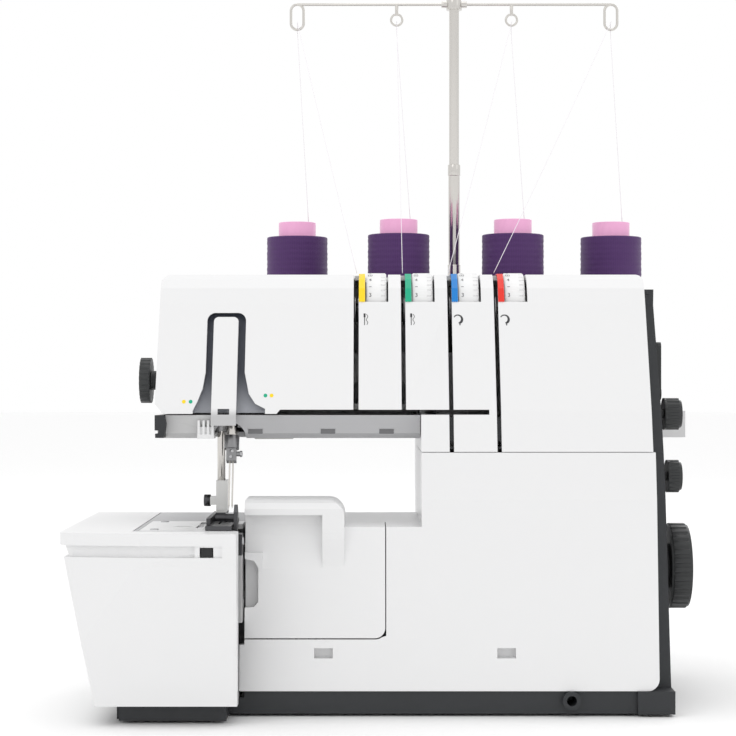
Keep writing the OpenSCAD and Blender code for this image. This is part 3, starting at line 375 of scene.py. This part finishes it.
def thread_winding(name, colour, light):
    """Crossed threads: two sets of fine slanting waves on the winding's own wrapped coordinates."""
    material, shader = new_material(name, colour, 0.62)
    socket(shader, "Sheen Weight", 0.12)
    socket(shader, "Sheen Roughness", 0.4)
    tree = material.node_tree
    wrap = tree.nodes.new("ShaderNodeUVMap")
    wrap.uv_map = "wrap"
    heights = []
    for angle in (0.16, -0.16):
        turn = tree.nodes.new("ShaderNodeMapping")
        socket(turn, "Rotation", (0, 0, angle))
        lines = tree.nodes.new("ShaderNodeTexWave")
        lines.bands_direction = "Y"
        socket(lines, "Scale", 0.62)
        socket(lines, "Distortion", 0.5)
        socket(lines, "Detail", 1.0)
        tree.links.new(wrap.outputs["UV"], turn.inputs["Vector"])
        tree.links.new(turn.outputs["Vector"], lines.inputs["Vector"])
        heights.append(lines)
    cross = tree.nodes.new("ShaderNodeMath")
    cross.operation = "MAXIMUM"
    tree.links.new(heights[0].outputs["Fac"], cross.inputs[0])
    tree.links.new(heights[1].outputs["Fac"], cross.inputs[1])
    shade = tree.nodes.new("ShaderNodeMix")
    shade.data_type = "RGBA"
    shade.inputs["A"].default_value = (*colour, 1)
    shade.inputs["B"].default_value = (*light, 1)
    tree.links.new(cross.outputs["Value"], shade.inputs["Factor"])
    tree.links.new(shade.outputs["Result"], shader.inputs["Base Color"])
    bump = tree.nodes.new("ShaderNodeBump")
    socket(bump, "Strength", 0.5)
    socket(bump, "Distance", 0.0003)
    tree.links.new(cross.outputs["Value"], bump.inputs["Height"])
    tree.links.new(bump.outputs["Normal"], shader.inputs["Normal"])
    return material


def mesh_piece(name, build, material, body, smooth=True):
    """One piece made in mesh code by build(bm), finished and riding on its body."""
    mesh = bpy.data.meshes.new(name)
    bm = bmesh.new()
    build(bm)
    bm.normal_update()
    bm.to_mesh(mesh)
    bm.free()
    for face in mesh.polygons:
        face.use_smooth = smooth
    mesh.materials.append(material)
    piece = bpy.data.objects.new(name, mesh)
    scene.collection.objects.link(piece)
    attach(piece, body)
    return piece


def lathe(bm, profile, place, steps=72):
    """Turns a profile of (radius, height) points, in mm, about an upright axis at place."""
    rings = []
    for radius, height in profile:
        ring = []
        for step in range(steps):
            angle = 2 * math.pi * step / steps
            ring.append(bm.verts.new(((place[0] + radius * math.cos(angle)) * MM,
                                      (place[1] + radius * math.sin(angle)) * MM, height * MM)))
        rings.append(ring)
    wrap = bm.loops.layers.uv.new("wrap")
    for row, (below, above) in enumerate(zip(rings, rings[1:])):
        for step in range(steps):
            face = bm.faces.new((below[step], below[(step + 1) % steps],
                                 above[(step + 1) % steps], above[step]))
            spans = (step, step + 1, step + 1, step)
            heights = (profile[row][1], profile[row][1], profile[row + 1][1], profile[row + 1][1])
            for loop, span, height in zip(face.loops, spans, heights):
                loop[wrap].uv = (span / steps * 2 * math.pi * winding_r, height)


def winding_profile():
    """Cone of wound thread: a flat foot, sides with the layers' ridges and a soft shoulder."""
    rows = 150
    points = [(tube_r, winding_low), (winding_foot_r, winding_low)]
    for row in range(rows + 1):
        share = row / rows
        height = winding_low + 2.5 + share * (winding_top - winding_low - 4.0)
        turned = share * 2 * math.pi
        ridge = 0.10 * math.sin(turned * layer_ridges) + 0.06 * math.sin(turned * slow_ridges)
        points.append((winding_r + ridge + 0.3 * (1 - share), height))
    points += [(winding_r, winding_top - 0.7), (winding_r - 0.15, winding_top - 0.25),
               (winding_r - 0.7, winding_top), (tube_r, winding_top)]
    return points


tube_pink = moulded_plastic("pink_tube_plastic", TUBE_PINK, 0.5, 0.05, (0.28, 0.36))
purple_thread = thread_winding("wound_purple_thread", THREAD_PURPLE, THREAD_LIGHT)
for number, place in enumerate(SPOOL_PLACES, 1):
    finish_node(f"spool_{number}", tube_pink, 0.3)
    mesh_piece(f"thread_winding_{number}", lambda bm: lathe(bm, winding_profile(), place),
               purple_thread, f"spool_{number}")

# ---- Sewing threads ----
# Fine pale polyester runs from each cone up through the wire arm and down into its slot. Each thread
# is three strands: the one through the eye rides on the mast, and the other two ride on the machine.

mast_x = 41.5
mast_y = 123.0
eye_z = 453.4
ARM_EYES = (-112.0, -41.0, 41.0, 112.0)
spool_top = 310.0
thread_r = 0.2
behind_y = mast_y + 3.0
behind_z = 447.0
front_y = mast_y - 2.0
slot_edge_y = -40.0
slot_edge_z = 265.3
leave_cone_x = 8.0


def tube_along(bm, points, radius, sides=8):
    """A round tube through points in mm, with its rings square to the path."""
    path = [Vector(p) * MM for p in points]
    rings = []
    side = Vector((1, 0, 0))
    for i, point in enumerate(path):
        along = (path[min(i + 1, len(path) - 1)] - path[max(i - 1, 0)]).normalized()
        side = (side - along * side.dot(along)).normalized()
        up = along.cross(side)
        rings.append([bm.verts.new(point + radius * MM * (math.cos(a) * side + math.sin(a) * up))
                      for a in (2 * math.pi * k / sides for k in range(sides))])
    for low, high in zip(rings, rings[1:]):
        for k in range(sides):
            bm.faces.new((low[k], low[(k + 1) % sides], high[(k + 1) % sides], high[k]))
    bm.faces.new(reversed(rings[0]))
    bm.faces.new(rings[-1])


def hanging_line(start, end, sag, steps=14):
    """Points from start to end, bowed down a little by the thread's own weight."""
    return [tuple(start[k] + (end[k] - start[k]) * t - (sag * 4 * t * (1 - t) if k == 2 else 0)
                  for k in range(3)) for t in (n / steps for n in range(steps + 1))]


pale_thread, pale_shader = new_material("pale_polyester_thread", (0.84, 0.8, 0.84), 0.6)
socket(pale_shader, "Sheen Weight", 0.4)
add_grain(pale_thread, pale_shader, 0.25, 0.3, 0.5, 0.7)


def thread_piece(name, run, body):
    """One strand of sewing thread along a run of points, riding on its body."""
    return mesh_piece(name, lambda bm: tube_along(bm, run, thread_r), pale_thread, body)


def follow_mast(strand):
    """Gives a strand its own copy of its mesh."""
    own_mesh(strand)


for number, place in enumerate(SPOOL_PLACES):
    eye_x = mast_x + ARM_EYES[number]
    slot_here = slot_first + slot_pitch * number
    leave = (place[0] + leave_cone_x, place[1], spool_top + 1.0)
    behind = (eye_x, behind_y, behind_z)
    in_front = (eye_x, front_y, eye_z)
    rise = thread_piece(f"sewing_thread_rise_{number + 1}", hanging_line(leave, behind, 0.6),
                        "machine")
    follow_mast(rise)
    thread_piece(f"sewing_thread_eye_{number + 1}",
                 (behind, (eye_x, mast_y + 2.4, 451.8), (eye_x, mast_y + 1.4, eye_z), in_front),
                 "mast_upper")
    fall = thread_piece(f"sewing_thread_fall_{number + 1}",
                        hanging_line(in_front, (slot_here, slot_edge_y, slot_edge_z), 1.6, 20),
                        "machine")
    follow_mast(fall)
    if number == 0:
        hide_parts("threads")

# ---- Numbers on the tension dials ----
# Each dial is pad-printed round its rim from 0 to 9, with a short tick between the numbers and one
# boxed plus sign at the normal setting.

dial_y = -34.0
dial_z = 242.0
dial_r = 23.5
number_height = 2.7
shown_number = 4
shown_turn = 52
number_turn = 30
plus_height = 2.2
ink_above = 0.05
band_beside_slot = 8.4
size_per_height = 1.42
INK_GREY = (0.06, 0.06, 0.065)


def glyph_faces(text, height_mm):
    """Flat triangles of a short word in mm, centred on the origin, made from the built-in typeface."""
    curve = bpy.data.curves.new("glyph", "FONT")
    curve.body = text
    curve.size = height_mm * size_per_height
    curve.align_x = "CENTER"
    curve.align_y = "CENTER"
    curve.resolution_u = 3
    holder = bpy.data.objects.new("glyph", curve)
    scene.collection.objects.link(holder)
    mesh = bpy.data.meshes.new_from_object(holder.evaluated_get(bpy.context.evaluated_depsgraph_get()))
    bpy.data.objects.remove(holder)
    bpy.data.curves.remove(curve)
    corners = [v.co.copy() for v in mesh.vertices]
    faces = [tuple(p.vertices) for p in mesh.polygons]
    bpy.data.meshes.remove(mesh)
    return corners, faces


def add_flat(bm, corners, faces, to_place):
    """Adds a printed outline, with each corner carried to its place on the piece by to_place."""
    made = [bm.verts.new(to_place(c.x, c.y)) for c in corners]
    for face in faces:
        bm.faces.new([made[i] for i in face])


def bar(x0, y0, x1, y1):
    """A flat oblong between two corners, as corners and one face."""
    corners = [Vector((x, y, 0)) for x, y in ((x0, y0), (x1, y0), (x1, y1), (x0, y1))]
    return corners, [(0, 1, 2, 3)]


ink, ink_shader = new_material("print_ink", INK_GREY, 0.5)
add_grain(ink, ink_shader, 0.6, 0.1, 0.45, 0.6)


def dial_print(bm, middle):
    """Numbers, ticks and the boxed plus of one dial, in a band round its rim at middle."""

    def on_rim(turn):
        """Wraps flat print round the dial's rim, upright as seen from the front, at an angle."""
        def place(u, v):
            angle = turn + v / dial_r
            radius = dial_r + ink_above
            return Vector((middle + u, dial_y - radius * math.cos(angle),
                           dial_z + radius * math.sin(angle))) * MM
        return place

    for value in range(10):
        turn = math.radians(shown_turn + (value - shown_number) * number_turn)
        corners, faces = glyph_faces(str(value), number_height)
        add_flat(bm, corners, faces, on_rim(turn))
        if value != shown_number:
            add_flat(bm, *bar(-0.8, -0.2, 0.8, 0.2), on_rim(turn + math.radians(number_turn / 2)))
    plus_turn = math.radians(shown_turn + number_turn / 2)
    corners, faces = glyph_faces("+", plus_height)
    add_flat(bm, corners, faces, on_rim(plus_turn))
    for box in ((-1.3, -1.5, 1.3, -1.2), (-1.3, 1.2, 1.3, 1.5),
                (-1.3, -1.5, -1.0, 1.5), (1.0, -1.5, 1.3, 1.5)):
        add_flat(bm, *bar(*box), on_rim(plus_turn))


for number in range(4):
    band_x = slot_first + slot_pitch * number + band_beside_slot
    mesh_piece(f"dial_numbers_{number + 1}", lambda bm: dial_print(bm, band_x), ink,
               f"tension_dial_{number + 1}", smooth=False)

# ---- Printed marks on the front ----
# Small plain pictures beside the slots show which path each thread takes, and coloured dots beside
# the thread guides repeat two of the four colours. All are pad-printed on the sloping face.

FACE_LINE = ((-112.0, 0.0), (-100.0, 127.0), (-95.0, 155.0), (-88.0, 180.0), (-62.0, 245.0),
             (-57.5, 255.0))
picture_beside_slot = 4.9
picture_z = 235.6
dot_r = 1.15


def face_place(x, z, proud=0.06):
    """A point on the casing's front face, in metres, just proud of the surface."""
    for (y0, z0), (y1, z1) in zip(FACE_LINE, FACE_LINE[1:]):
        if z0 <= z <= z1:
            share = (z - z0) / (z1 - z0)
            along = Vector((0, y1 - y0, z1 - z0)).normalized()
            outward = Vector((0, -along.z, along.y))
            return (Vector((x, y0 + (y1 - y0) * share, z)) + proud * outward) * MM
    raise ValueError(z)


def disc(radius, steps=20):
    """A flat round dot, as corners and one face."""
    turns = [2 * math.pi * k / steps for k in range(steps)]
    return [radius * Vector((math.cos(a), math.sin(a), 0)) for a in turns], [tuple(range(steps))]


def needle_picture(bm, x, z):
    """A needle with its eye, and a wavy thread beside it."""
    def here(u, v):
        return face_place(x + u, z + v)

    add_flat(bm, *bar(-0.25, -3.6, 0.25, 3.2), here)
    add_flat(bm, *bar(-0.6, 1.2, 0.6, 3.6), here)
    for k in range(12):
        u = 1.5 + 0.45 * math.sin(k * 0.9)
        add_flat(bm, *bar(u - 0.2, -3.4 + k * 0.55, u + 0.2, -2.85 + k * 0.55), here)


def looper_picture(bm, x, z):
    """A curved looper with its point to the left."""
    def here(u, v):
        return face_place(x + u, z + v)

    radius = 2.6
    for k in range(18):
        a = math.radians(-60 + k * 12)
        width = 0.28 + 0.035 * (17 - k)
        u, v = radius * math.cos(a), radius * math.sin(a)
        add_flat(bm, *bar(u - width, v - 0.33, u + width, v + 0.33), here)
    add_flat(bm, *bar(0.9, -3.8, 1.6, -2.2), here)


def front_print(bm):
    """The needle paths' pictures by the first two slots, and the loopers' by the others."""
    for number in range(4):
        x = slot_first + slot_pitch * number + picture_beside_slot
        (needle_picture if number < 2 else looper_picture)(bm, x, picture_z)


mesh_piece("front_pictures", front_print, ink, "machine", smooth=False)

DOTS = (("yellow", 0, (-131.0, 185.3)), ("green_left", 1, (-126.9, 185.3)),
        ("green", 1, (-81.9, 189.0)), ("yellow_right", 0, (-78.2, 189.0)))
for label, colour_index, (x, z) in DOTS:
    dot_paint, dot_shader = new_material(f"{label}_dot_ink", TAB_COLOURS[colour_index], 0.4)
    add_grain(dot_paint, dot_shader, 0.6, 0.05, 0.35, 0.45)
    mesh_piece(f"{label}_dot",
               lambda bm: add_flat(bm, *disc(dot_r), lambda u, v: face_place(x + u, z + v)),
               dot_paint, "machine", smooth=False)

# ---- Screws ----
# Plated slotted machine screws hold the needle plate, the knife and the needle clamp, and cross-head
# ones hold the rear cover. Their heads are turned, domed a little and struck with their slots.

screw_steel = brushed_metal("screw_steel", (0.5, 0.5, 0.51), 0.28, (1.0, 1.0, 1.0), 0.1)


def screw_head(bm, centre, outward, radius, height, slots=1, turn=0.6):
    """A domed screw head with one slot, or two that cross, pressed in its top."""
    out = Vector(outward).normalized()
    side = out.orthogonal().normalized()
    frame_turn = Matrix((side, out.cross(side), out)).transposed()
    steps = 28
    slot_half = radius * 0.17
    slot_reach = radius * (1.1 if slots == 1 else 0.62)
    slot_depth = 0.45
    rows = ((1.0, 0.0), (1.0, 0.62), (0.93, 0.82), (0.8, 0.93), (0.55, 1.0), (0.3, 1.02), (0.0, 1.02))
    rings = []
    for share, rise in rows:
        ring = []
        for step in range(steps if share else 1):
            angle = 2 * math.pi * step / steps + turn
            u, v = share * radius * math.cos(angle), share * radius * math.sin(angle)
            depth = 0.0
            for k in range(slots):
                a = turn + k * math.pi / 2
                across = abs(-u * math.sin(a) + v * math.cos(a))
                along = abs(u * math.cos(a) + v * math.sin(a))
                if across < slot_half and along < slot_reach:
                    depth = slot_depth
            lift = (rise - (depth if rise > 0.7 else 0)) * height
            ring.append(bm.verts.new((Vector(centre) + frame_turn @ Vector((u, v, lift))) * MM))
        rings.append(ring)
    for low, high in zip(rings, rings[1:]):
        for step in range(steps):
            if len(high) == 1:
                bm.faces.new((low[step], low[(step + 1) % steps], high[0]))
            else:
                bm.faces.new((low[step], low[(step + 1) % steps], high[(step + 1) % steps], high[step]))


plate_top = 110.9
rear_face_y = 59.9
REAR_SCREWS = ((-138.0, 176.0), (-138.0, 252.0), (0.0, 252.0), (140.0, 252.0),
               (140.0, 128.0), (24.0, 24.0), (140.0, 24.0))


def plate_screws(bm):
    """The two slotted screws near the left edge of the needle plate."""
    for y, turn in ((-62.0, 0.6), (-119.0, 1.3)):
        screw_head(bm, (-145.0, y, plate_top), (0, 0, 1), 2.6, 0.7, turn=turn)


def rear_screws(bm):
    """The cross-head screws round the rear cover's edge."""
    for x, z in REAR_SCREWS:
        screw_head(bm, (x, rear_face_y, z), (0, 1, 0), 3.0, 1.0, slots=2)


mesh_piece("needle_plate_screws", plate_screws, screw_steel, "machine")
mesh_piece("rear_cover_screws", rear_screws, screw_steel, "machine")
mesh_piece("knife_clamp_screw",
           lambda bm: screw_head(bm, (-93.95, -111.0, 103.5), (1, 0, 0), 2.4, 0.8),
           screw_steel, "upper_knife")

NEEDLE_LEAN = math.radians(17)
needle_foot = Vector((-102.8, -88.0, 121.0))


def up_the_bar(across, forward, up):
    """A point given across, in front of and up the leaning needle bar, in mm."""
    lean_out, lean_up = math.sin(NEEDLE_LEAN), math.cos(NEEDLE_LEAN)
    return needle_foot + Vector((across, -forward * lean_up + up * lean_out,
                                 forward * lean_out + up * lean_up))


def clamp_screws(bm):
    """Two small set screws on the clamp's front, and the larger one on its right side."""
    for across, up in ((-0.2, 31.5), (0.6, 35.0)):
        screw_head(bm, up_the_bar(across, 3.0, up), up_the_bar(0, 1, 0) - needle_foot, 0.95, 0.5)
    screw_head(bm, up_the_bar(5.2, 0, 34.0), (1, 0, 0), 1.9, 1.5)


mesh_piece("needle_clamp_screws", clamp_screws, screw_steel, "needle_bar")

# ---- Presser foot screw ----
# A knurled thumb screw of blackened steel clamps the foot's shank to the presser bar. Its rim is
# rolled with fine teeth, so that it turns by hand.


def knurled_barrel(bm, centre, length, radius, teeth=20):
    """A short turned barrel along X whose rim is cut into fine teeth."""
    steps = teeth * 2
    rings = []
    rows = ((0, 0.0), (0, 0.86), (0.3, 1.0), (length - 0.3, 1.0), (length, 0.86), (length, 0.0))
    for x, share in rows:
        ring = []
        for step in range(steps if share else 1):
            angle = 2 * math.pi * step / steps
            r = radius * share * (1.0 if step % 2 else 0.93)
            ring.append(bm.verts.new(Vector((centre[0] + x, centre[1] + r * math.cos(angle),
                                             centre[2] + r * math.sin(angle))) * MM))
        rings.append(ring)
    for low, high in zip(rings, rings[1:]):
        for step in range(steps):
            nxt = (step + 1) % steps
            if len(low) == 1:
                bm.faces.new((low[0], high[nxt], high[step]))
            elif len(high) == 1:
                bm.faces.new((low[step], low[nxt], high[0]))
            else:
                bm.faces.new((low[step], low[nxt], high[nxt], high[step]))


mesh_piece("presser_thumb_screw", lambda bm: knurled_barrel(bm, (-120.6, -65.0, 124.5), 4.2, 3.6),
           hard_steel, "presser_bar")

# ---- Lamp under the head ----
# A clear moulded lens snaps into the grey underside, to the right of the needle bar. Its edges are
# rounded, and a little of the light goes through it.

lens_plastic, lens_shader = new_material("lamp_lens_plastic", (0.93, 0.93, 0.9), 0.18)
socket(lens_shader, "Transmission Weight", 0.35)
socket(lens_shader, "IOR", 1.49)
add_grain(lens_plastic, lens_shader, 0.8, 0.2, 0.14, 0.24)


def rounded_block(bm, low, high, edge, steps=3):
    """A moulded block with all its edges rounded."""
    made = bmesh.ops.create_cube(bm, size=1.0)["verts"]
    low, high = Vector(low) * MM, Vector(high) * MM
    for vert in made:
        vert.co = Vector(low[k] + (vert.co[k] + 0.5) * (high[k] - low[k]) for k in range(3))
    edges = {e for v in made for e in v.link_edges}
    bmesh.ops.bevel(bm, geom=list(edges), offset=edge * MM, segments=steps, profile=0.5,
                    affect="EDGES")


mesh_piece("lamp_lens",
           lambda bm: rounded_block(bm, (-90.0, -60.0, 161.9), (-66.0, -46.0, 163.3), 0.6),
           lens_plastic, "machine")

# ---- Sockets in the head's underside ----
# Three darker moulded plugs fill the square sockets in the sloping front of the underside. They
# are pressed in from the front.

plug_grey = moulded_plastic("socket_plug_plastic", (0.15, 0.15, 0.155), 0.5, 0.15, (0.4, 0.5))
SOCKET_LEFTS = (-93.0, -49.0, -13.5)


def socket_plugs(bm):
    """One plug pressed into each of the underside's square sockets."""
    for x in SOCKET_LEFTS:
        rounded_block(bm, (x + 0.3, -79.7, 165.8), (x + 9.2, -77.0, 168.7), 0.3, 2)


mesh_piece("underside_plugs", socket_plugs, plug_grey, "machine")

# ---- Marks on the side panel and its knobs ----
# White pad-printed scales stand round the two knobs, and a 0 and a 1 over the power switch. Each
# knob has a white pointer line moulded in.

print_white, print_shader = new_material("white_print_ink", (0.72, 0.72, 0.72), 0.5)
add_grain(print_white, print_shader, 0.6, 0.1, 0.45, 0.6)
panel_foot_x = 161.0
panel_foot_z = 15.0
panel_top_x = 157.5
panel_top_z = 254.6
PANEL_LEAN = math.atan2(panel_foot_x - panel_top_x, panel_top_z - panel_foot_z)
knob_y = -40.0
knob_face_x = 176.0
scale_start = 200
numbers_out = 7.0
ticks_out = 2.0
tick_step = 0.6
switch_marks_y = 31.0
switch_marks_z = 52.0
KNOBS = (("stitch_length_knob", 177.0, 10.0, 120, ("0", "1", "2", "3", "4", "5")),
         ("diff_feed_knob", 138.0, 10.2, 220, ("0.7", "1", "1.5", "2")))


def panel_place(y, z):
    """A point of the sloping side panel, in metres, just proud of it."""
    return Vector((panel_foot_x + ink_above - (z - panel_foot_z) * math.tan(PANEL_LEAN), y, z)) * MM


def round_knob(centre_z, angle, out):
    """Where flat print sits on the panel, at an angle and a distance from a knob's middle."""
    middle_y, middle_z = knob_y + math.cos(angle) * out, centre_z + math.sin(angle) * out
    return lambda u, v: panel_place(middle_y + u, middle_z + v)


def panel_print(bm):
    """Both knobs' scales, with three dots leading out to each number, and the switch's marks."""
    for _, centre_z, radius, scale_turn, words in KNOBS:
        for k, word in enumerate(words):
            angle = math.radians(scale_start - scale_turn * k / (len(words) - 1))
            corners, faces = glyph_faces(word, 3.4)
            add_flat(bm, corners, faces, round_knob(centre_z, angle, radius + numbers_out))
            for step in range(3):
                add_flat(bm, *bar(-0.25, -0.3, 0.25, 0.3),
                         round_knob(centre_z, angle, radius + ticks_out + step * tick_step))
    for k, mark in enumerate(("0", "1")):
        corners, faces = glyph_faces(mark, 4.0)
        add_flat(bm, corners, faces,
                 lambda u, v: panel_place(switch_marks_y + 8.0 * k + u, switch_marks_z + v))


mesh_piece("side_panel_print", panel_print, print_white, "machine", smooth=False)

for knob, centre_z, radius, *_ in KNOBS:
    pointer_low = (knob_face_x - 1.2, knob_y - 0.5, centre_z + 1.0)
    pointer_high = (knob_face_x - 0.85, knob_y + 0.5, centre_z + radius - 4.6)
    mesh_piece(f"{knob}_pointer",
               lambda bm: rounded_block(bm, pointer_low, pointer_high, 0.1, 2),
               print_white, knob)

# ---- Handwheel face ----
# A thin white arrow is pad-printed on the wheel's hub. It curves over the top, from the front to
# the back.

wheel_y = -20.0
wheel_z = 80.0
hub_face_x = 181.46
arrow_start = 40
arrow_pieces = 22
piece_turn = 4
arrow_head_turn = 14
arrow_r = 13.0
shaft_half = 0.4
head_half = 1.8


def hub_place(radius, turn_deg):
    """A point on the hub's face, in metres, at an angle measured up and over from the front."""
    turn = math.radians(turn_deg)
    return Vector((hub_face_x, wheel_y - radius * math.cos(turn),
                   wheel_z + radius * math.sin(turn))) * MM


def turn_arrow(bm):
    """The arrow's bent shaft in short pieces, and its head."""
    def flat(*corners):
        bm.faces.new([bm.verts.new(hub_place(*corner)) for corner in corners])

    inner_r, outer_r = arrow_r - shaft_half, arrow_r + shaft_half
    for k in range(arrow_pieces):
        start = arrow_start + k * piece_turn
        end = start + piece_turn + 0.2
        flat((inner_r, start), (inner_r, end), (outer_r, end), (outer_r, start))
    head = arrow_start + arrow_pieces * piece_turn
    flat((arrow_r - head_half, head), (arrow_r + head_half, head), (arrow_r, head + arrow_head_turn))


mesh_piece("turn_arrow", turn_arrow, print_white, "handwheel", smooth=False)

# ---- Seat of the spool holders ----
# A thin dark grey disc with a soft edge lies on each holder, under the cone.

foam_grey = soft_rubber("holder_foam", (0.2, 0.2, 0.2))
foam_low = 166.0
foam_high = 166.22
foam_hole_r = 3.4
foam_r = 18.7
foam_edge = 0.3


def foam_ring(bm, place):
    """A flat ring with a soft outer edge, round the pin at place."""
    steps = 48
    rows = ((foam_hole_r, foam_low), (foam_r - foam_edge, foam_low), (foam_r, foam_low + 0.08),
            (foam_r - foam_edge, foam_high), (foam_hole_r, foam_high), (foam_hole_r, foam_low))
    rings = [[bm.verts.new(Vector((place[0] + r * math.cos(2 * math.pi * k / steps),
                                   place[1] + r * math.sin(2 * math.pi * k / steps), z)) * MM)
              for k in range(steps)] for r, z in rows]
    for low, high in zip(rings, rings[1:]):
        for k in range(steps):
            bm.faces.new((low[k], low[(k + 1) % steps], high[(k + 1) % steps], high[k]))


for number, place in enumerate(SPOOL_PLACES, 1):
    mesh_piece(f"holder_foam_{number}", lambda bm: foam_ring(bm, place), foam_grey, "machine")
